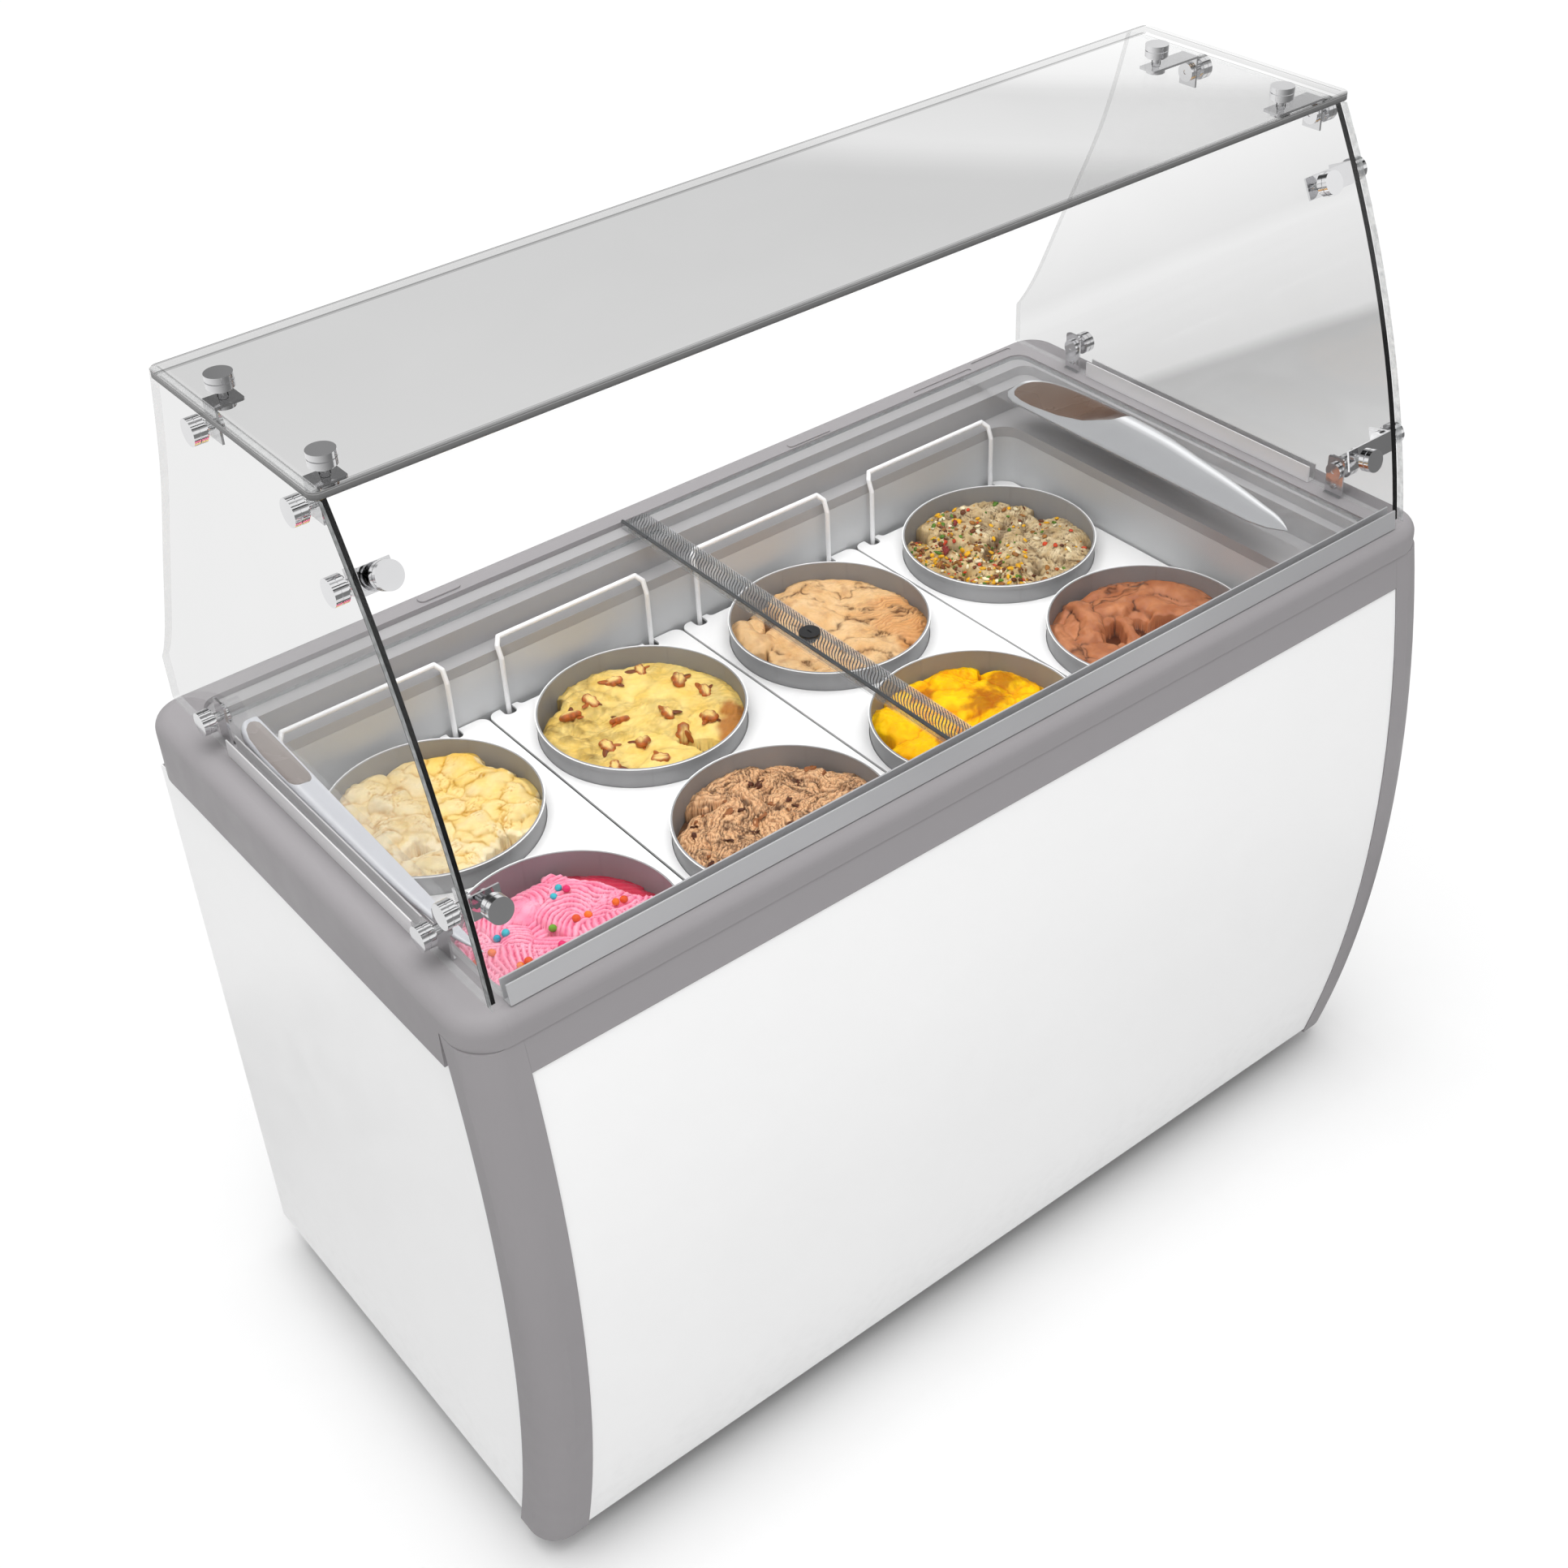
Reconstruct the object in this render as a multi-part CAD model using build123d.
from build123d import *
import math
import os

# Ice cream dipping cabinet: eight tubs, sliding glass lids, curved sneeze glass.
# Origin on the floor under the middle of the body; +X right as the customer sees it,
# +Y towards the server (back), +Z up.  Millimetres.
os.makedirs("parts", exist_ok=True)

# ---- driving dimensions ----------------------------------------------------
HALF_L = 652.0          # outside of the corner posts and the top collar
Y_REAR = 345.0          # rear face of the body and the collar
PANEL_X = 645.4         # outside of the side panels
POST_IN = 598.0         # inner edge of a corner post on the front face
BODY_BOT = 43.0         # lower edge of the panels
POST_BOT = 36.0         # lower tip of the corner posts
COLLAR_TOP = 851.5
COLLAR_BOT = 774.0      # lower edge of the collar skirt at the sides
COLLAR_FRONT = -316.0
SEAM_Z = 817.0          # joint between collar and posts on the front
BAND_BOT = 779.6        # lower edge of the front band
PANEL_TOP = 800.0       # upper edge of side and rear panels, inside the collar
REAR_PANEL_Y = 324.0    # inner face of the recessed rear panel

# upright arcs in the YZ plane: (outer radius, centre y, centre z)
FRONT_Y = -345.0        # furthest bulge of the front
FRONT_R = 1748.0
FRONT = (FRONT_R, FRONT_Y + FRONT_R, 494.0)
GLASS = (1337.0, 1020.4, 662.6)

# rounded rectangles: (x0, x1, y0, y1, corner radius)
TANK = (-574.0, 512.0, -270.0, 248.8, 30.0)         # inside of tank and track frame
STEP_WALL = (-585.0, 572.0, -277.0, 269.8, 30.0)    # wall above the first step
LOWER_TRACK = (-594.0, 585.0, -289.0, 289.0, 18.0)
UPPER_TRACK = (-601.0, 592.0, -302.0, 308.7, 20.0)  # also the collar mouth
FRAME_BOT = 787.0
STEP_Z = 800.6
LOWER_Z = 831.7
UPPER_Z = 845.0

TANK_FLOOR = 487.0
TANK_TOP = 786.7
TANK_T = 1.2
DRAIN_X, DRAIN_Y = -307.3, -14.2
TRAY_Z = 78.0           # underside of the base tray
TRAY_UP = TRAY_Z + 2.1  # where parts stand on the tray

# openings in the rear panel: (x0, x1, z0, z1)
GRILLE_HOLE = (185.0, 605.0, 100.0, 385.0)
CONTROL_HOLE = (-92.0, 52.0, 150.0, 240.0)
REAR_CUT = (300.0, 340.0)   # y range of cutters through the rear panel
CORD_X, CORD_Z = -190.0, 130.0


# ---- helpers ---------------------------------------------------------------
def box(x0, x1, y0, y1, z0, z1):
    centre = Pos((x0 + x1) / 2, (y0 + y1) / 2, (z0 + z1) / 2)
    return centre * Box(x1 - x0, y1 - y0, z1 - z0)


def rounded_box(x0, x1, y0, y1, z0, z1, radius):
    centre = Pos((x0 + x1) / 2, (y0 + y1) / 2, z0)
    return extrude(centre * RectangleRounded(x1 - x0, y1 - y0, radius), amount=z1 - z0)


def prism(rect, z0, z1):
    x0, x1, y0, y1, radius = rect
    return rounded_box(x0, x1, y0, y1, z0, z1, radius)


def grow(rect, margin):
    x0, x1, y0, y1, radius = rect
    return (x0 - margin, x1 + margin, y0 - margin, y1 + margin, radius + margin)


def framed(opening, margin, y0, y1):
    """Box over a rear opening, larger by margin on every side."""
    x0, x1, z0, z1 = opening
    return box(x0 - margin, x1 + margin, y0, y1, z0 - margin, z1 + margin)


def cylinder(start, direction, radius, length):
    align = (Align.CENTER, Align.CENTER, Align.MIN)
    return Plane(origin=start, z_dir=direction) * Cylinder(radius, length, align=align)


def bar_x(x, y, z, radius, length):
    return cylinder((x, y, z), (1, 0, 0), radius, length)


def bar_y(x, y, z, radius, length):
    return cylinder((x, y, z), (0, 1, 0), radius, length)


def bar_z(x, y, z, radius, length):
    return cylinder((x, y, z), (0, 0, 1), radius, length)


def rod(start, end, radius):
    first = Vector(*start)
    span = Vector(*end) - first
    return cylinder(first, span.normalized(), radius, span.length)


def bent_wire(points, radius):
    """Rods from point to point, with a ball in every bend."""
    wire = rod(points[0], points[1], radius)
    for start, end in zip(points[1:], points[2:]):
        wire = wire + rod(start, end, radius)
    for point in points[1:-1]:
        wire = wire + Pos(*point) * Sphere(radius)
    return wire


def lines(*points):
    return [Line(a, b) for a, b in zip(points, points[1:])]


def along_x(face, x0, x1):
    """Extrude a face drawn in (y, z) from x0 to x1."""
    return extrude(Plane.YZ.offset(x0) * face, amount=x1 - x0, dir=(1, 0, 0))


def curve_y(curve, z, inset=0.0):
    radius, centre_y, centre_z = curve
    return centre_y - math.sqrt((radius - inset) ** 2 - (z - centre_z) ** 2)


def curve_point(curve, z, inset):
    return (curve_y(curve, z, inset), z)


def curve_arc(curve, z0, z1, inset):
    return ThreePointArc(*[curve_point(curve, z, inset) for z in (z0, (z0 + z1) / 2, z1)])


def curved_slab(curve, x0, x1, z0, z1, inset0, inset1):
    """Slab between two concentric arcs, cut level at z0 and z1."""
    face = make_face([
        curve_arc(curve, z0, z1, inset0),
        Line(curve_point(curve, z1, inset0), curve_point(curve, z1, inset1)),
        curve_arc(curve, z1, z0, inset1),
        Line(curve_point(curve, z0, inset1), curve_point(curve, z0, inset0)),
    ])
    return along_x(face, x0, x1)


def mirror_x(shape):
    return mirror(shape, about=Plane.YZ)


def on_side(shape, side):
    """Keep a right-hand shape, or mirror it when side is -1."""
    return shape if side > 0 else mirror_x(shape)


def save(name, *shapes):
    solids = [solid for shape in shapes for solid in shape.solids()]
    piece = solids[0] if len(solids) == 1 else Compound(children=solids)
    export_step(piece, os.path.join("parts", name + ".step"))


# ---- outer skins -----------------------------------------------------------
save("front_panel",
     curved_slab(FRONT, -POST_IN + 0.6, POST_IN - 0.6, BODY_BOT, BAND_BOT - 0.6, 1.6, 3.2))
save("front_band",
     curved_slab(FRONT, -POST_IN + 0.12, POST_IN - 0.12, BAND_BOT, SEAM_Z, 0.1, 4.5))


def round_front_edge(shape, x, inset, radius):
    """Round the long edge at x that lies in front of the given inset at mid height."""
    limit_y = curve_y(FRONT, 426, inset)
    edges = [e for e in shape.edges()
             if abs(e.center().X - x) < 0.01 and e.length > 600 and e.center().Y < limit_y]
    return fillet(edges, radius)


def corner_post():
    wall = 4.0
    radius = 34.0
    outer = curved_slab(FRONT, POST_IN, HALF_L, POST_BOT, SEAM_Z, 0.0, 54.0)
    outer = round_front_edge(outer, HALF_L, 30, radius)
    inner = curved_slab(FRONT, POST_IN - 5.0, HALF_L - wall,
                        POST_BOT + wall, SEAM_Z + 5.0, wall, 70.0)
    inner = round_front_edge(inner, HALF_L - wall, 36, radius - wall)
    return outer - inner


right_post = corner_post()
save("corner_post_right", right_post)
save("corner_post_left", mirror_x(right_post))


def side_panel():
    """Tucked behind the post flange in front, run to the back edge."""
    bottom = BODY_BOT - 1.4
    shoulder = COLLAR_BOT - 2.0
    back = Y_REAR - 0.5
    tab_back = 304.0        # back end of the tab that hides inside the collar
    inset = 27
    face = make_face([curve_arc(FRONT, bottom, PANEL_TOP, inset)] + lines(
        curve_point(FRONT, PANEL_TOP, inset), (tab_back, PANEL_TOP), (tab_back, shoulder),
        (back, shoulder), (back, bottom), curve_point(FRONT, bottom, inset)))
    panel = along_x(face, PANEL_X - 1.5, PANEL_X)
    # rear return flange that closes the raw edge
    return panel + box(PANEL_X - 14.0, PANEL_X, back - 1.5, back, bottom, shoulder)


right_side = side_panel()
save("side_panel_right", right_side)
save("side_panel_left", mirror_x(right_side))


def rear_panel():
    half = PANEL_X - 2.2
    panel = box(-half, half, REAR_PANEL_Y, REAR_PANEL_Y + 1.5, BODY_BOT, PANEL_TOP)
    panel = panel - framed(GRILLE_HOLE, 0, *REAR_CUT)
    for side in (-1, 1):    # notched top corners
        panel = panel - Pos(side * 645.0, REAR_PANEL_Y, PANEL_TOP) * Box(26.0, 20.0, 60.0)
    panel = panel - framed(CONTROL_HOLE, 0, *REAR_CUT)
    return panel - bar_y(CORD_X, 300.0, CORD_Z, 9.0, 60.0)


save("rear_panel", rear_panel())


def service_grille():
    """Cover plate with two columns of slots and a tilted blade over each slot."""
    count = 15
    x0, x1, z0, z1 = GRILLE_HOLE
    columns = ((x0 + 14, 388.0), (402.0, x1 - 14))
    heights = [z0 + 12 + i * (z1 - z0 - 24) / (count - 1) for i in range(count)]
    grille = framed(GRILLE_HOLE, 14, REAR_PANEL_Y + 1.8, REAR_PANEL_Y + 3.6)
    for z in heights:
        for left, right in columns:
            grille = grille - box(left, right, *REAR_CUT, z - 4.0, z + 4.0)
    for z in heights:
        for left, right in columns:
            place = Pos((left + right) / 2, REAR_PANEL_Y + 4.4, z + 3.4)
            grille = grille + place * Rot(38, 0, 0) * Box(right - left + 1.0, 9.0, 1.2)
    return grille


save("service_grille", service_grille())


def cross_screw(x, y, z):
    centre = Pos(x, y + 2.5, z)
    head = bar_y(x, y, z, 4.0, 2.4)
    return head - centre * Box(5.0, 1.6, 1.1) - centre * Box(1.1, 1.6, 5.0)


def rear_screws():
    x0, x1, z0, z1 = GRILLE_HOLE
    grille = [cross_screw(x, REAR_PANEL_Y + 3.7, z)
              for x in (x0 - 7, x1 + 7, 395.0) for z in (z0 - 7, z1 + 7)]
    panel = [cross_screw(x, REAR_PANEL_Y + 1.7, z)
             for x in (-630.0, -315.0, 315.0, 630.0) for z in (60.0, 740.0)]
    return grille + panel


save("rear_screws", *rear_screws())


def collar_block(inset, bottom, top, corner, top_radius):
    half = HALF_L - inset
    block = rounded_box(-half, half, COLLAR_FRONT + inset, Y_REAR - inset, bottom, top, corner)
    return fillet(block.faces().sort_by(Axis.Z)[-1].edges(), top_radius)


def top_collar():
    """One moulded shell around the mouth."""
    outer = collar_block(0, COLLAR_BOT, COLLAR_TOP, 42.0, 18.0)
    inner = collar_block(4, COLLAR_BOT - 5, COLLAR_TOP - 4, 38.0, 14.0)
    collar = outer - inner
    collar = collar + prism(grow(UPPER_TRACK, 3.0), 832.5, COLLAR_TOP - 1.0)
    collar = collar - prism(UPPER_TRACK, 700.0, 900.0)
    # the skirt stops above the posts along the front and round the front corners
    collar = collar - box(-700, 700, -400, -258.0, 700, SEAM_Z + 0.6)
    # raised pads, then recessed bars, on the server side: x0, x1, y0, y1, top or depth, radius
    for x0, x1, y0, y1, rise, radius in ((-322, -268, 314, 328, 2.2, 6.5),
                                         (207, 272, 311, 321, 1.8, 4.5)):
        collar = collar + rounded_box(x0, x1, y0, y1, COLLAR_TOP - 2.0, COLLAR_TOP + rise, radius)
    for x0, x1, y0, y1 in ((522, 590, 322, 328), (415, 512, 313, 319)):
        collar = collar - rounded_box(x0, x1, y0, y1, COLLAR_TOP - 1.6, COLLAR_TOP + 5, 2.5)
    return collar


save("top_collar", top_collar())


def lid_track_frame():
    """Stepped ring round the tank mouth that carries the two lid tracks."""
    base = grow(STEP_WALL, 7.0)
    rim = grow(UPPER_TRACK, -0.4)
    flange_z = LOWER_Z - 5.0
    frame = prism(base, FRAME_BOT, STEP_Z) - prism(TANK, FRAME_BOT - 10, STEP_Z + 10)
    frame = frame + (prism(base, FRAME_BOT, LOWER_Z)
                     - prism(STEP_WALL, FRAME_BOT - 10, LOWER_Z + 10))
    frame = frame + (prism(rim, flange_z, LOWER_Z) - prism(STEP_WALL, FRAME_BOT, LOWER_Z + 10))
    return frame + (prism(rim, flange_z, UPPER_Z) - prism(LOWER_TRACK, FRAME_BOT, UPPER_Z + 10))


save("lid_track_frame", lid_track_frame())


# ---- tank, foam, coil, drain -----------------------------------------------
def inner_tank():
    tank = (prism(grow(TANK, TANK_T), TANK_FLOOR - TANK_T, TANK_TOP)
            - prism(TANK, TANK_FLOOR, TANK_TOP + 5))
    tank = tank + (prism(grow(TANK, 9.0), TANK_TOP - 1.2, TANK_TOP)
                   - prism(TANK, TANK_TOP - 5, TANK_TOP + 5))
    return tank - bar_z(DRAIN_X, DRAIN_Y, TANK_FLOOR - 10, 11.5, 20)


save("inner_tank", inner_tank())


def foam_insulation():
    bottom = 436.0
    top = 779.0
    inset = 60
    back = REAR_PANEL_Y - 1.0
    coil_gap = 11.0
    foam = curved_slab(FRONT, -590.0, 590.0, bottom, top, 7.0, 62.0)
    face = make_face([curve_arc(FRONT, bottom, top, inset)] + lines(
        curve_point(FRONT, top, inset), (back, top), (back, bottom),
        curve_point(FRONT, bottom, inset)))
    foam = foam + along_x(face, -PANEL_X + 3.5, PANEL_X - 3.5)
    foam = foam - prism(grow(TANK, coil_gap), TANK_FLOOR - TANK_T - 0.6, 900.0)
    return foam - bar_z(DRAIN_X, DRAIN_Y, 400, 13.0, 120)


save("foam_insulation", foam_insulation())


def evaporator_coil():
    """Level loops round the tank, joined by short risers behind it."""
    heights = (540.0, 595.0, 650.0, 705.0, 755.0)
    x0, x1, y0, y1, radius = grow(TANK, TANK_T + 5.0)
    centre_x = (x0 + x1) / 2
    coil = None
    for z in heights:
        outline = RectangleRounded(x1 - x0, y1 - y0, radius)
        path = (Pos(centre_x, (y0 + y1) / 2, z) * outline).wire()
        profile = Plane(origin=(centre_x, y1, z), z_dir=(1, 0, 0)) * Circle(4.0)
        loop = sweep(profile, path=path)
        coil = loop if coil is None else coil + loop
    for i, (low, high) in enumerate(zip(heights, heights[1:])):
        x = 60.0 if i % 2 == 0 else -60.0
        coil = coil + rod((x, y1, low), (x, y1, high), 3.6)
    return coil


save("evaporator_coil", evaporator_coil())


def drain_tube():
    """Open tube from under the tank down through the base tray."""
    shoulder = 76.0
    tube = bar_z(DRAIN_X, DRAIN_Y, 58.0, 10.0, 18.0)
    tube = tube + bar_z(DRAIN_X, DRAIN_Y, shoulder, 10.6, TANK_FLOOR - TANK_T - 0.4 - shoulder)
    return tube - bar_z(DRAIN_X, DRAIN_Y, 50.0, 8.0, 500.0)


def drain_plug():
    plug = bar_z(DRAIN_X, DRAIN_Y, TANK_FLOOR + 0.3, 15.0, 5.0)
    plug = plug + bar_z(DRAIN_X, DRAIN_Y, TANK_FLOOR - 0.9, 10.6, 2.0)
    plug = plug + bar_z(DRAIN_X, DRAIN_Y, TANK_FLOOR + 5.0, 4.0, 9.0)
    return plug + Pos(DRAIN_X, DRAIN_Y, TANK_FLOOR + 16.0) * Sphere(6.5)


save("drain_tube", drain_tube())
save("drain_plug", drain_plug())

# ---- base tray and casters -------------------------------------------------
WHEEL_R = 25.0
CASTER_TRAIL = 18.0     # axle offset from the swivel, towards -X
CASTERS = {
    "front_left": (-560.0, -195.0), "front_right": (560.0, -195.0),
    "rear_left": (-560.0, 255.0), "rear_right": (560.0, 255.0),
}


def base_tray():
    half = 641
    front, back = -268.0, 321.0
    skirt = (BODY_BOT + 2, TRAY_Z + 1)
    tray = box(-half, half, front, back, TRAY_Z, TRAY_Z + 2.0)
    tray = tray + box(-half, half, front, front + 2, *skirt)
    tray = tray + box(-half, half, back - 2, back, *skirt)
    tray = tray + box(-half, -half + 2, front, back, *skirt)
    tray = tray + box(half - 2, half, front, back, *skirt)
    tray = tray - bar_z(DRAIN_X, DRAIN_Y, 60, 11.0, 60)
    for x in (-380.0, -130.0):      # raised ribs running front to back
        tray = tray + box(x - 12, x + 12, front + 40, back - 40, TRAY_Z + 1.5, TRAY_Z + 8)
    return tray


save("base_tray", base_tray())


def caster_plate(x, y):
    plate = rounded_box(x - 31, x + 31, y - 31, y + 31, TRAY_Z - 3.2, TRAY_Z - 0.2, 5)
    plate = plate + bar_z(x, y, TRAY_Z - 8.2, 17.0, 5.2)
    plate = plate - bar_z(x, y, TRAY_Z - 20, 6.0, 40.0)
    for bolt_x in (x - 24, x + 24):
        for bolt_y in (y - 24, y + 24):
            plate = plate - bar_z(bolt_x, bolt_y, TRAY_Z - 20, 3.0, 40.0)
            plate = plate + bar_z(bolt_x, bolt_y, TRAY_Z - 6.4, 5.0, 3.4)
    return plate


def caster_fork(x, y):
    axle_x = x - CASTER_TRAIL
    leg_top = TRAY_Z - 13
    leg_bot = WHEEL_R - 5
    fork = bar_z(x, y, TRAY_Z - 12.4, 17.0, 4.0) + bar_z(x, y, TRAY_Z - 10.0, 5.94, 9.0)
    fork = fork + box(axle_x - 14, x + 16, y - 15.5, y + 15.5, TRAY_Z - 15.6, TRAY_Z - 12.3)
    leg = make_face(lines((axle_x - 14, leg_top), (x + 14, leg_top), (axle_x + 8, leg_bot),
                          (axle_x - 8, leg_bot), (axle_x - 14, leg_top)))
    for leg_back in (y - 13.0, y + 15.5):
        plane = Plane(origin=(0, leg_back, 0), x_dir=(1, 0, 0), z_dir=(0, -1, 0))
        fork = fork + extrude(plane * leg, amount=2.5)
    fork = fork + bar_y(axle_x, y - 17.0, WHEEL_R, 4.0, 34.0)
    return (fork + bar_y(axle_x, y - 19.5, WHEEL_R, 6.5, 4.0)
            + bar_y(axle_x, y + 15.5, WHEEL_R, 6.5, 4.0))


def caster_wheel(x, y):
    axle_x = x - CASTER_TRAIL
    half = 10.0
    hub_r = 9.0
    recess = 2.2
    wheel = bar_y(axle_x, y - half, WHEEL_R, WHEEL_R, 2 * half)
    wheel = fillet([e for e in wheel.edges() if e.length > 100], 4.0)
    wheel = wheel + bar_y(axle_x, y - half - 2.2, WHEEL_R, hub_r, 24.4)
    for start in (y - half, y + half - recess):
        wheel = wheel - (bar_y(axle_x, start, WHEEL_R, 16.0, recess)
                         - bar_y(axle_x, start - 4, WHEEL_R, hub_r, 10.0))
    return wheel - bar_y(axle_x, y - 20.0, WHEEL_R, 4.05, 40.0)


save("caster_plates", *[caster_plate(x, y) for x, y in CASTERS.values()])
for corner, (x, y) in CASTERS.items():
    save("caster_fork_" + corner, caster_fork(x, y))
    save("caster_wheel_" + corner, caster_wheel(x, y))

# ---- machine compartment ---------------------------------------------------
COMP_X, COMP_Y = 490.0, 110.0
COMP_FEET = [(COMP_X + sx * 82, COMP_Y + sy * 46)
             for sx, sy in ((-1, -1), (1, -1), (-1, 1), (1, 1))]
PORT_Z = 118            # both pipe ports of the compressor
FAN_X, FAN_Z = 300.0, 201.0


def compressor():
    x, y = COMP_X, COMP_Y
    body = bar_z(x, y, 94.0, 78.0, 60.0)
    dome = bar_z(x, y, 154.0, 74.0, 82.0)
    dome = fillet(dome.faces().sort_by(Axis.Z)[-1].edges(), 34.0)
    body = fillet(body.faces().sort_by(Axis.Z)[0].edges(), 14.0)
    shell = body + dome + bar_z(x, y, 148.0, 80.5, 8.0)
    shell = shell + rounded_box(x - 95, x + 95, y - 60, y + 60, 90.2, 95.5, 16)
    for foot_x, foot_y in COMP_FEET:
        shell = shell - bar_z(foot_x, foot_y, 80, 5.0, 30)
    # terminal cover, then the pipe ports
    shell = shell + rounded_box(x - 92, x - 60, y - 26, y + 26, 130, 190, 6)
    shell = shell + bar_y(x + 20, y + 70, PORT_Z, 6.0, 20.0)
    return shell + bar_y(x - 20, y + 70, PORT_Z, 5.0, 20.0)


def grommet(x, y):
    sleeve = bar_z(x, y, TRAY_UP, 9.0, 9.9) + bar_z(x, y, TRAY_UP, 4.7, 18.0)
    return sleeve + bar_z(x, y, TRAY_Z + 17.8, 8.0, 4.0)


save("compressor", compressor())
save("compressor_grommets", *[grommet(x, y) for x, y in COMP_FEET])


def condenser_coil():
    """Block grooved front and back, with return bends and two end plates."""
    x0, x1, y0, y1, z0, z1 = 205.0, 395.0, 262.0, 300.0, 102.0, 300.0
    tube_y = (y0 + y1) / 2
    tube_r = 4.5
    pitch = 23
    grooves = 22
    coil = box(x0, x1, y0, y1, z0, z1)
    for i in range(grooves):
        x = x0 + 6 + i * (x1 - x0 - 12) / (grooves - 1)
        for near, far in ((y0 - 1, y0 + 9), (y1 - 9, y1 + 1)):
            coil = coil - box(x - 2.6, x + 2.6, near, far, z0 + 3, z1 - 3)
    for i in range(4):
        low = 120.0 + i * 2 * pitch
        high = low + pitch
        for end_x, side in ((x0, -1), (x1, 1)):
            root = end_x - side * 2
            tip = end_x + side * 9
            for z in (low, high):
                coil = coil + rod((root, tube_y, z), (tip, tube_y, z), tube_r)
            coil = coil + rod((tip, tube_y, low), (tip, tube_y, high), tube_r)
            for z in (low, high):
                coil = coil + Pos(tip, tube_y, z) * Sphere(tube_r)
    for x in (x0, x1):
        coil = coil + box(x - 2, x + 2, y0, y1, TRAY_UP, z1 + 2)
    return coil


def fan_shroud():
    """Plate with a ring, and four wire arms to the ring that holds the motor."""
    ring_r = 86.0
    arm_y = 214.0
    wire_r = 2.4
    shroud = box(200.0, 400.0, 256.0, 258.5, TRAY_UP, 303.0)
    shroud = shroud - bar_y(FAN_X, 250, FAN_Z, ring_r, 20)
    shroud = shroud + (bar_y(FAN_X, 236, FAN_Z, 90.0, 21.0)
                       - bar_y(FAN_X, 230, FAN_Z, ring_r, 40))
    for angle in (45, 135, 225, 315):
        c = math.cos(math.radians(angle))
        s = math.sin(math.radians(angle))
        bend = (FAN_X + 88 * c, arm_y, FAN_Z + 88 * s)
        shroud = shroud + rod((bend[0], 238.5, bend[2]), bend, wire_r)
        shroud = shroud + rod(bend, (FAN_X + 31.5 * c, arm_y, FAN_Z + 31.5 * s), wire_r)
        shroud = shroud + Pos(*bend) * Sphere(wire_r)
    return shroud + (bar_y(FAN_X, 211.0, FAN_Z, 34.0, 6.0)
                     - bar_y(FAN_X, 205.0, FAN_Z, 29.0, 20.0))


def fan_motor():
    motor = bar_y(FAN_X, 176.0, FAN_Z, 28.6, 44.0) + bar_y(FAN_X, 219.0, FAN_Z, 4.0, 30.0)
    return motor + rounded_box(FAN_X - 18, FAN_X + 18, 168, 178, FAN_Z - 12, FAN_Z + 12, 3)


def fan_blade():
    count = 5
    fan = bar_y(FAN_X, 226.0, FAN_Z, 20.0, 20.0)
    for k in range(count):
        place = Pos(FAN_X, 236.0, FAN_Z) * Rot(0, 360 / count * k, 0) * Pos(48.0, 0, 0)
        fan = fan + place * Rot(28, 0, 0) * Box(62.0, 2.0, 40.0)
    fan = fan & bar_y(FAN_X, 220.0, FAN_Z, 82.0, 32.0)
    return fan - bar_y(FAN_X, 215.0, FAN_Z, 4.05, 50.0)


save("condenser_coil", condenser_coil())
save("fan_shroud", fan_shroud())
save("fan_motor", fan_motor())
save("fan_blade", fan_blade())
save("filter_drier", bar_x(432, 300, 330, 11.0, 90.0) + bar_x(424, 300, 330, 4.6, 106.0))


def refrigerant_lines():
    """Compressor to condenser, drier to foam, and compressor to foam."""
    out_x, in_x = COMP_X + 20, COMP_X - 20
    port_y = COMP_Y + 96
    runs = (
        (3.6, [(out_x, port_y, PORT_Z), (out_x, 246, PORT_Z), (out_x, 246, 330),
               (414, 246, 330), (414, 246, 281), (414, 246, 112), (414, 281, 112)]),
        (3.0, [(534, 300, 330), (556, 300, 330), (556, 300, 410), (556, 258, 410),
               (556, 258, 432)]),
        (4.6, [(in_x, port_y, PORT_Z), (in_x, 236, PORT_Z), (in_x, 236, 405),
               (-60, 236, 405), (-60, 258, 405), (-60, 258, 432)]),
    )
    return [bent_wire(points, radius) for radius, points in runs]


save("refrigerant_lines", *refrigerant_lines())

# ---- controls on the server side -------------------------------------------
KNOB_X = -48.0
SWITCH_X = 16.0
CONTROL_Z = 195.0


def control_panel():
    """Recessed pan with a rim, a switch well and a thermostat block."""
    z = CONTROL_Z
    pan = framed(CONTROL_HOLE, -0.5, 306.0, REAR_PANEL_Y + 2.0)
    pan = pan - framed(CONTROL_HOLE, -3, 309.0, 340.0)
    pan = pan + (framed(CONTROL_HOLE, 8, REAR_PANEL_Y + 1.7, REAR_PANEL_Y + 3.7)
                 - framed(CONTROL_HOLE, -3, *REAR_CUT))
    well_x = (SWITCH_X - 11, SWITCH_X + 11)
    well_z = (z - 17.2, z + 17.2)
    pan = pan - bar_y(KNOB_X, 300, z, 4.05, 20)
    pan = pan - box(*well_x, 300, 320, *well_z)
    pan = pan + (box(SWITCH_X - 13.5, SWITCH_X + 13.5, 296.0, 308.0, z - 19.2, z + 19.2)
                 - box(*well_x, 298.6, 330, *well_z))
    pan = pan - bar_x(SWITCH_X - 14.5, 303.0, z, 1.8, 29.0)
    return pan + (box(KNOB_X - 20, KNOB_X + 20, 288.0, 307.0, z - 20, z + 20)
                  - bar_y(KNOB_X, 296, z, 4.05, 30))


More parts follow.
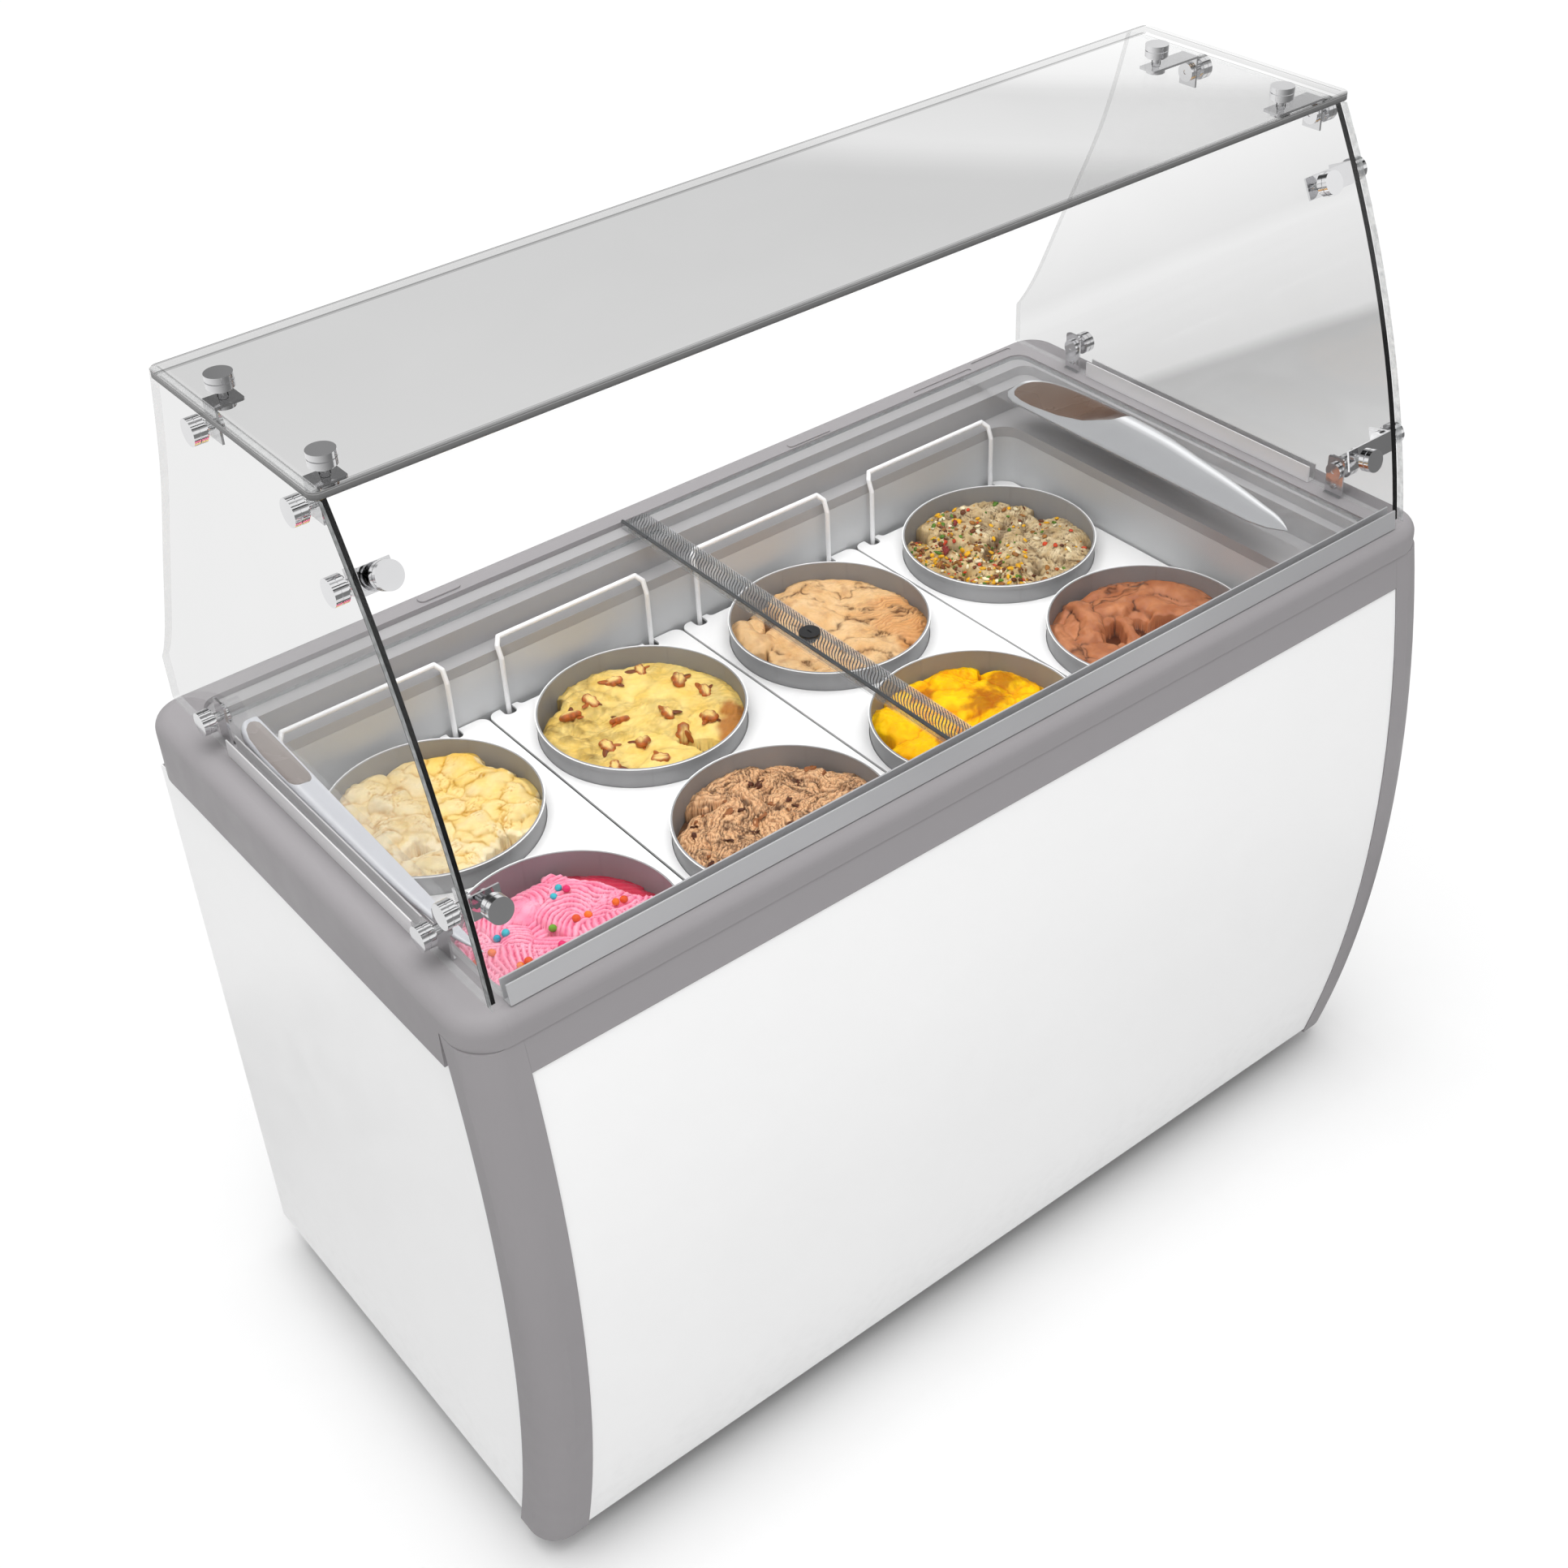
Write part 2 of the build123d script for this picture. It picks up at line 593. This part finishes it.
def thermostat_knob():
    z = CONTROL_Z
    spindle = bar_y(KNOB_X, 297.0, z, 3.98, 20.0)
    grip = bar_y(KNOB_X, 309.6, z, 17.0, 12.0)
    knob = spindle + chamfer(grip.faces().sort_by(Axis.Y)[-1].edges(), 1.5)
    for angle in range(0, 360, 20):     # grip flutes
        c = math.cos(math.radians(angle))
        s = math.sin(math.radians(angle))
        knob = knob - bar_y(KNOB_X + 18.2 * c, 311.5, z + 18.2 * s, 2.0, 20.0)
    # pointer rib
    return knob + box(KNOB_X - 1.4, KNOB_X + 1.4, 321.0, 322.8, z + 2.0, z + 15.0)


# rocker profile: (y, height above the switch centre)
ROCKER = (
    (302.0, -9.0), (310.5, -15.2), (313.8, -15.0), (311.0, 0.0),
    (311.6, 15.0), (308.3, 15.2), (302.0, 9.0), (302.0, -9.0),
)


def power_switch():
    face = Pos(0, CONTROL_Z) * make_face(lines(*ROCKER))
    rocker = along_x(face, SWITCH_X - 10.4, SWITCH_X + 10.4)
    return rocker + bar_x(SWITCH_X - 13.0, 303.0, CONTROL_Z, 1.6, 26.0)


save("control_panel", control_panel())
save("thermostat_knob", thermostat_knob())
save("power_switch", power_switch())


def power_cord():
    """Strain relief, two flat loops of lead behind the rear panel, three-pin plug."""
    lead_r = 4.0
    y = REAR_PANEL_Y + 9.3
    loop_x, loop_z = -270.0, 250.0
    outer_r, inner_r = 80.0, 71.5
    cord = bar_y(CORD_X, REAR_PANEL_Y - 8, CORD_Z, 8.6, 10.0)
    cord = cord + bar_y(CORD_X, REAR_PANEL_Y + 1.8, CORD_Z, 12.0, 5.0)
    cord = cord + rod((CORD_X, REAR_PANEL_Y - 20.0, CORD_Z), (CORD_X, y, CORD_Z), lead_r)
    cord = cord + rod((CORD_X, y, CORD_Z), (CORD_X, y, loop_z), lead_r)
    for radius in (outer_r, inner_r):
        plane = Plane(origin=(loop_x, y, loop_z), z_dir=(0, 1, 0))
        cord = cord + plane * Torus(radius, lead_r)
    cord = cord + rod((loop_x + outer_r, y, loop_z), (loop_x + inner_r, y, loop_z), lead_r)
    cord = cord + rod((loop_x, y, loop_z - inner_r), (loop_x, y, 205.0), lead_r)
    cord = cord + rounded_box(loop_x - 14, loop_x + 14, REAR_PANEL_Y + 2.2,
                              REAR_PANEL_Y + 18.5, 176.0, 208.0, 5)
    for x in (loop_x - 6.4, loop_x + 6.4):      # flat pins
        cord = cord + box(x - 0.8, x + 0.8, REAR_PANEL_Y + 7.5, REAR_PANEL_Y + 13.5,
                          160.0, 178.0)
    return cord + bar_z(loop_x, REAR_PANEL_Y + 15.6, 158.5, 2.3, 20.0)


save("power_cord", power_cord())

# ---- glass superstructure --------------------------------------------------
GLASS_X = 617.0         # outside face of the side glasses
GLASS_T = 8.0
GLASS_IN = GLASS_X - GLASS_T
GLASS_BOT = 853.0
GLASS_TOP = 1303.2
SHELF = (-624.5, 624.5, -151.0, 149.0, 9.0)
SHELF_BOT = 1304.0
SHELF_TOP = 1313.0
SHELF_STUD_X = (-594.0, 553.0)
SHELF_STUD_Y = (64.0, -117.0)
SIDE_STUD_Z = 1284.0            # side glass studs under the shelf
FRONT_STUD_X = (-592.0, 552.0)
FRONT_STUD_Z = (1240.0, 952.0)
SIDE_OFF = 22.0                 # side studs behind the face of the front glass
BASE_STUD_Y = (225.0, -208.0)
BASE_STUD_Z = 884.0
STUD_R = 4.0
HOLE_R = 5.0
BRACKET_HOLE_R = HOLE_R - 0.6
BRACKET_T = 2.4
BRACKET_X = GLASS_IN - 0.3      # bracket face against a side glass
CHANNEL_BOT = COLLAR_TOP + 0.3


def glass_frame(z):
    """Outside of the front glass at height z: y, and the outward normal (y, z)."""
    radius, centre_y, centre_z = GLASS
    y = curve_y(GLASS, z)
    return y, (y - centre_y) / radius, (z - centre_z) / radius


def side_stud(z):
    """(y, z) of the side glass stud that goes with a front stud at height z."""
    y, ny, nz = glass_frame(z)
    return (y - ny * SIDE_OFF, z - nz * SIDE_OFF)


SIDE_STUDS = ([(y, SIDE_STUD_Z) for y in SHELF_STUD_Y]
              + [side_stud(z) for z in FRONT_STUD_Z]
              + [(y, BASE_STUD_Z) for y in BASE_STUD_Y])


def shelf_glass():
    shelf = prism(SHELF, SHELF_BOT, SHELF_TOP)
    faces = shelf.faces().sort_by(Axis.Z)
    shelf = chamfer(faces[-1].edges() + faces[0].edges(), 0.8)
    for x in SHELF_STUD_X:
        for y in SHELF_STUD_Y:
            shelf = shelf - bar_z(x, y, 1290, HOLE_R, 40)
    return shelf


# swept rear edge of a side glass: (y, z)
SIDE_EDGE = ((334.0, 906.0), (280.0, 1005.0), (245.0, 1083.0), (201.0, 1182.0),
             (164.0, GLASS_TOP))


def side_glass():
    inset = GLASS_T + 0.8
    foot, top = SIDE_EDGE[0], SIDE_EDGE[-1]
    face = make_face([
        curve_arc(GLASS, GLASS_BOT, GLASS_TOP, inset),
        Line(curve_point(GLASS, GLASS_TOP, inset), top),
        Spline(*SIDE_EDGE, tangents=((-0.62, 0.78), (-0.26, 0.97))),
        *lines(foot, (foot[0], GLASS_BOT), curve_point(GLASS, GLASS_BOT, inset)),
    ])
    glass = along_x(face, GLASS_IN, GLASS_X)
    for y, z in SIDE_STUDS:
        glass = glass - bar_x(580, y, z, HOLE_R, 60)
    return glass


def front_glass():
    glass = curved_slab(GLASS, -GLASS_X, GLASS_X, GLASS_BOT, GLASS_TOP, 0.0, GLASS_T)
    for z in FRONT_STUD_Z:
        y, ny, nz = glass_frame(z)
        for x in FRONT_STUD_X:
            start = (x, y + ny * 20, z + nz * 20)
            glass = glass - cylinder(start, (0, -ny, -nz), HOLE_R, 45)
    return glass


save("shelf_glass", shelf_glass())
right_glass = side_glass()
save("side_glass_right", right_glass)
save("side_glass_left", mirror_x(right_glass))
save("front_glass", front_glass())


def front_channel():
    """Curved U channel that holds the foot of the front glass."""
    outer, inner = -2.2, GLASS_T + 2.2
    channel = None
    for top, inset0, inset1 in ((874.0, outer, -0.5), (874.0, GLASS_T + 0.5, inner),
                                (GLASS_BOT - 0.2, outer, inner)):
        wall = curved_slab(GLASS, -600.0, 600.0, CHANNEL_BOT, top, inset0, inset1)
        channel = wall if channel is None else channel + wall
    return channel


def side_channel(side):
    """Straight U channel under a side glass."""
    inner, outer = GLASS_IN - 2.0, GLASS_X + 2.0
    channel = box(inner, GLASS_IN - 0.4, -170, 200, CHANNEL_BOT, 872.0)
    channel = channel + box(GLASS_X + 0.4, outer, -170, 200, CHANNEL_BOT, 872.0)
    channel = channel + box(inner, outer, -170, 200, CHANNEL_BOT, GLASS_BOT - 0.2)
    return on_side(channel, side)


save("front_channel", front_channel())
save("side_channels", side_channel(-1), side_channel(1))


def shelf_bracket(side, stud_x, y):
    """Angle bracket between the shelf and a side glass."""
    x = abs(stud_x)
    top = SHELF_BOT - 0.2
    bracket = rounded_box(x - 15.0, BRACKET_X, y - 12, y + 12, top - BRACKET_T, top, 3.0)
    bracket = bracket + box(BRACKET_X - BRACKET_T, BRACKET_X, y - 12, y + 12,
                            SIDE_STUD_Z - 16.0, top)
    bracket = (bracket - bar_z(x, y, 1290, BRACKET_HOLE_R, 30)
               - bar_x(590, y, SIDE_STUD_Z, BRACKET_HOLE_R, 30))
    return on_side(bracket, side)


def front_bracket(side, stud_x, z):
    """Angle bracket between the front glass and a side glass."""
    x = abs(stud_x)
    y, ny, nz = glass_frame(z)
    plane = Plane(origin=(0, y, z), x_dir=(1, 0, 0), z_dir=(0, ny, nz))
    x_in = x - 15.0
    depth = GLASS_T + 0.4
    leg = SIDE_OFF + 15 - GLASS_T
    bracket = (plane * Pos((x_in + BRACKET_X) / 2, 0, -(depth + BRACKET_T / 2))
               * Box(BRACKET_X - x_in, 24.0, BRACKET_T))
    bracket = bracket + (plane * Pos(BRACKET_X - BRACKET_T / 2, 0, -(depth + leg / 2))
                         * Box(BRACKET_T, 24.0, leg))
    start = (x, y - ny * 30, z - nz * 30)
    bracket = bracket - cylinder(start, (0, ny, nz), BRACKET_HOLE_R, 40)
    bracket = bracket - bar_x(590, *side_stud(z), BRACKET_HOLE_R, 30)
    return on_side(bracket, side)


def base_bracket(side, y):
    """Upright tab inside a side glass, with a foot and a cross-head screw."""
    bottom = COLLAR_TOP + 0.1
    top = 902.0
    screw_z = 862.5
    face_x = BRACKET_X - BRACKET_T
    bracket = box(face_x, BRACKET_X, y - 12, y + 12, bottom, top)
    corners = [e for e in bracket.edges()
               if abs(e.center().Z - top) < 0.01 and e.length < 3.0]
    bracket = fillet(corners, 5.0)
    bracket = bracket + box(GLASS_IN - 5.4, GLASS_IN - 0.4, y - 12, y + 12,
                            bottom, bottom + 1.2)
    bracket = bracket + cylinder((face_x + 0.4, y, screw_z), (-1, 0, 0), 3.6, 2.2)
    slot = Pos(face_x - 1.8, y, screw_z)
    bracket = bracket - slot * Box(1.4, 4.6, 1.0) - slot * Box(1.4, 1.0, 4.6)
    bracket = bracket - bar_x(590, y, BASE_STUD_Z, BRACKET_HOLE_R, 30)
    return on_side(bracket, side)


def clamp_knob(point, normal, through):
    """Grooved cap outside, stud through the glass, disc nut inside."""
    def disc(distance, radius, length):
        start = tuple(p + n * distance for p, n in zip(point, normal))
        return cylinder(start, normal, radius, length)

    knob = disc(0.3, 10.5, 2.2) + disc(2.4, 13.0, 6.2) + disc(8.5, 12.2, 1.2)
    knob = knob + disc(9.6, 13.0, 5.9)
    knob = knob + disc(-through - 3.4, STUD_R, through + 4.0)
    nut = disc(-through - 4.2, 10.5, 4.0) - disc(-through - 4.4, 2.6, 1.8)
    return knob + nut


def clamp_knobs():
    shelf_grip = SHELF_TOP - SHELF_BOT + BRACKET_T + 0.4
    front_grip = GLASS_T + 0.4 + BRACKET_T + 0.2
    side_grip = GLASS_T + 0.3 + BRACKET_T + 0.2
    knobs = [clamp_knob((x, y, SHELF_TOP), (0, 0, 1), shelf_grip)
             for x in SHELF_STUD_X for y in SHELF_STUD_Y]
    for z in FRONT_STUD_Z:
        y, ny, nz = glass_frame(z)
        knobs += [clamp_knob((x, y, z), (0, ny, nz), front_grip) for x in FRONT_STUD_X]
    knobs += [clamp_knob((side * GLASS_X, y, z), (side, 0, 0), side_grip)
              for side in (-1, 1) for y, z in SIDE_STUDS]
    return knobs


save("clamp_brackets",
     *[shelf_bracket(side, x, y) for side, x in zip((-1, 1), SHELF_STUD_X)
       for y in SHELF_STUD_Y],
     *[front_bracket(side, x, z) for z in FRONT_STUD_Z
       for side, x in zip((-1, 1), FRONT_STUD_X)])
save("base_brackets", *[base_bracket(side, y) for side in (-1, 1) for y in BASE_STUD_Y])
save("clamp_knobs", *clamp_knobs())

# ---- tubs, ice cream, plates, racks ----------------------------------------
TUB_R = 120.65          # standard 241.3 mm (9.5 in) bulk ice cream tub
TUB_TOP = 746.15
TUB_BOT = 493.5
TUB_X = (-444.35, -170.25, 103.85, 377.95)
TUB_Y = (-143.5, 115.1)
TUBS = [(x, y) for y in TUB_Y for x in TUB_X]
CREAM_TOP = 724.0
PLATE_TOP = 721.15
PLATE_T = 3.0
PLATE_JOINTS = (-573.0, -298.2, -23.2, 249.8, 511.0)    # x of plate ends and joints
LEG = 101.0             # rack legs either side of the tub centre


def tub(x, y):
    rim = 5.0
    shape = bar_z(x, y, TUB_BOT, TUB_R - 1.4, TUB_TOP - TUB_BOT - 4.0)
    shape = shape + bar_z(x, y, TUB_TOP - rim, TUB_R, rim)
    return shape - bar_z(x, y, TUB_BOT + 2.0, TUB_R - 3.2, 400)


def ice_cream(x, y):
    cream = bar_z(x, y, TUB_BOT + 2.5, TUB_R - 3.7, CREAM_TOP - TUB_BOT - 2.5)
    return fillet(cream.faces().sort_by(Axis.Z)[-1].edges(), 6.0)


def tub_plate(x, left, right):
    """Plate round two tubs, notched for the rack legs and trimmed to the tank."""
    cut = (700, 740, 6.0)       # z range and corner radius of the notches
    plate = rounded_box(left + 1.6, right - 1.6, -268.0, 247.0,
                        PLATE_TOP - PLATE_T, PLATE_TOP, 12.0)
    for y in TUB_Y:
        plate = plate - bar_z(x, y, 700, TUB_R - 0.7, 40)
    for leg_x in (x - LEG, x + LEG):
        plate = plate - rounded_box(leg_x - 8, leg_x + 8, 231.0, 262.0, *cut)
    plate = plate - rounded_box(x - LEG + 16, x + LEG - 16, 240.5, 275.0, *cut)
    for leg_x in (x - LEG, x + LEG):
        plate = plate - rounded_box(leg_x - 8, leg_x + 8, -290.0, -256.0, *cut)
    return plate & prism(grow(TANK, -0.8), 700, 740)


def tub_rack(x):
    """Bent wire cradle with a raised rear handle and four cross wires."""
    wire_r = 3.0
    back, front = 239.6, -262.5
    floor = TANK_FLOOR + wire_r + 0.2
    half = (        # (x from the tub centre, y, z), front tip to handle corner
        (LEG, front, 706.0), (LEG, front, floor), (LEG, back, floor), (LEG, back, 792.0),
        (LEG, back + 6.0, 807.0), (LEG - 6, back + 12.5, 813.5),
    )
    points = [(x + dx, y, z) for dx, y, z in half]
    points += [(x - dx, y, z) for dx, y, z in reversed(half)]
    rack = bent_wire(points, wire_r)
    for y in (front, -150.0, 0.0, 120.0):
        rack = rack + rod((x - LEG, y, floor), (x + LEG, y, floor), 2.4)
    return rack


save("tubs", *[tub(x, y) for x, y in TUBS])
save("ice_cream", *[ice_cream(x, y) for x, y in TUBS])
save("tub_plates", *[tub_plate(x, left, right)
                     for x, left, right in zip(TUB_X, PLATE_JOINTS, PLATE_JOINTS[1:])])
save("tub_racks", *[tub_rack(x) for x in TUB_X])

# ---- sliding glass lids ----------------------------------------------------
LID_T = 5.0
RIGHT_Z = UPPER_Z + 0.5             # underside of the right lid, on the upper track
LEFT_Z = LOWER_Z + 0.5              # underside of the left lid, on the lower track
RIGHT_TRIM = RIGHT_Z + LID_T + 0.2
LEFT_TRIM = LEFT_Z + LID_T + 0.2
RIGHT_LID = (-51.4, 589.0, -300.0, 306.5, 17.0)
LEFT_LID = (-593.0, -9.0, -288.0, 288.0, 17.0)
TRIM_FRONT = -285.0                 # trims stand clear of the front glass channel
LOCK_X, LOCK_Y = -35.5, -26.0

# half-moon pulls and their pockets: (x, y) along each edge
RIGHT_MOON = (
    (507.0, -227.0), (520.0, -206.0), (530.0, -170.0), (543.0, -114.0), (553.0, -58.0),
    (563.0, -1.0), (567.0, 50.0), (566.5, 120.0), (560.5, 200.0), (548.0, 230.0),
    (525.0, 241.0), (503.0, 236.0), (489.0, 212.0),
)
RIGHT_MOON_TIP = ((489.0, -180.0), (494.0, -206.0), (507.0, -227.0))
RIGHT_POCKET_BACK = (
    (501.0, 225.0), (514.0, 233.0), (536.0, 232.0), (554.5, 203.0), (561.0, 157.0),
    (563.0, 115.0), (563.5, 82.0),
)
RIGHT_POCKET_FRONT = (
    (563.5, 82.0), (549.0, 80.0), (534.0, 88.0), (513.0, 111.0), (501.5, 144.0),
    (496.0, 185.0), (501.0, 225.0),
)
LEFT_MOON = (
    (-574.0, -215.0), (-582.0, -190.0), (-588.0, -130.0), (-591.0, -60.0), (-591.5, 20.0),
    (-591.5, 110.0), (-590.5, 200.0), (-586.0, 240.0), (-576.0, 258.0), (-558.0, 262.0),
)
LEFT_POCKET_BACK = (
    (-560.8, 250.0), (-570.0, 255.0), (-581.0, 242.0), (-587.5, 190.0), (-589.5, 130.0),
)
LEFT_POCKET_FRONT = ((-589.5, 130.0), (-582.0, 119.0), (-571.0, 120.0), (-564.5, 134.0))


def lid_right_handle():
    cap = rounded_box(487.5, RIGHT_LID[1], TRIM_FRONT, RIGHT_LID[3],
                      RIGHT_TRIM, RIGHT_TRIM + 2.4, 16.5)
    moon = make_face([Spline(*RIGHT_MOON), Line(RIGHT_MOON[-1], RIGHT_MOON_TIP[0]),
                      Spline(*RIGHT_MOON_TIP)])
    pull = extrude(Pos(0, 0, RIGHT_TRIM + 2.0) * moon, amount=8.4)
    pocket = make_face([Spline(*RIGHT_POCKET_BACK), Spline(*RIGHT_POCKET_FRONT)])
    pull = pull - extrude(Pos(0, 0, RIGHT_TRIM + 4.4) * pocket, amount=10.0)
    return cap + pull


def lid_right_stile():
    """Trim along the left edge of the right lid, bored for the lock."""
    left = -54.0
    back = RIGHT_LID[3] - 1
    stile = box(left, -19.5, TRIM_FRONT, back, RIGHT_TRIM, RIGHT_TRIM + 3.0)
    stile = stile + box(left, left + 2.2, TRIM_FRONT, back, RIGHT_Z - 0.1, RIGHT_TRIM + 5.6)
    return stile - bar_z(LOCK_X, LOCK_Y, 830, 12.05, 40)


def lock_cylinder():
    lock = (bar_z(LOCK_X, LOCK_Y, RIGHT_Z - 0.8, 6.9, 9.0)
            + bar_z(LOCK_X, LOCK_Y, RIGHT_TRIM + 0.4, 12.0, 5.4))
    return lock - Pos(LOCK_X, LOCK_Y, RIGHT_TRIM + 5.4) * Box(1.6, 7.0, 4.0)


def lid_left_handle():
    cap = rounded_box(LEFT_LID[0], -556.0, LEFT_LID[2], LEFT_LID[3],
                      LEFT_TRIM, LEFT_TRIM + 1.4, 17.0)
    moon = make_face([Spline(*LEFT_MOON), Line(LEFT_MOON[-1], LEFT_MOON[0])])
    pull = extrude(Pos(0, 0, LEFT_TRIM + 1.2) * moon, amount=5.2)
    pocket = make_face([Spline(*LEFT_POCKET_BACK), Spline(*LEFT_POCKET_FRONT),
                        Line(LEFT_POCKET_FRONT[-1], LEFT_POCKET_BACK[0])])
    pull = pull - extrude(Pos(0, 0, LEFT_TRIM + 2.6) * pocket, amount=10.0)
    return cap + pull


save("lid_right_glass", prism(RIGHT_LID, RIGHT_Z, RIGHT_Z + LID_T)
     - bar_z(LOCK_X, LOCK_Y, 830, 7.0, 40))
save("lid_right_handle", lid_right_handle())
save("lid_right_stile", lid_right_stile())
save("lock_cylinder", lock_cylinder())
save("lid_left_glass", prism(LEFT_LID, LEFT_Z, LEFT_Z + LID_T))
save("lid_left_handle", lid_left_handle())
save("lid_left_seal", box(-15.0, -9.2, LEFT_LID[2] + 2, LEFT_LID[3] - 2, LEFT_TRIM, 843.6))
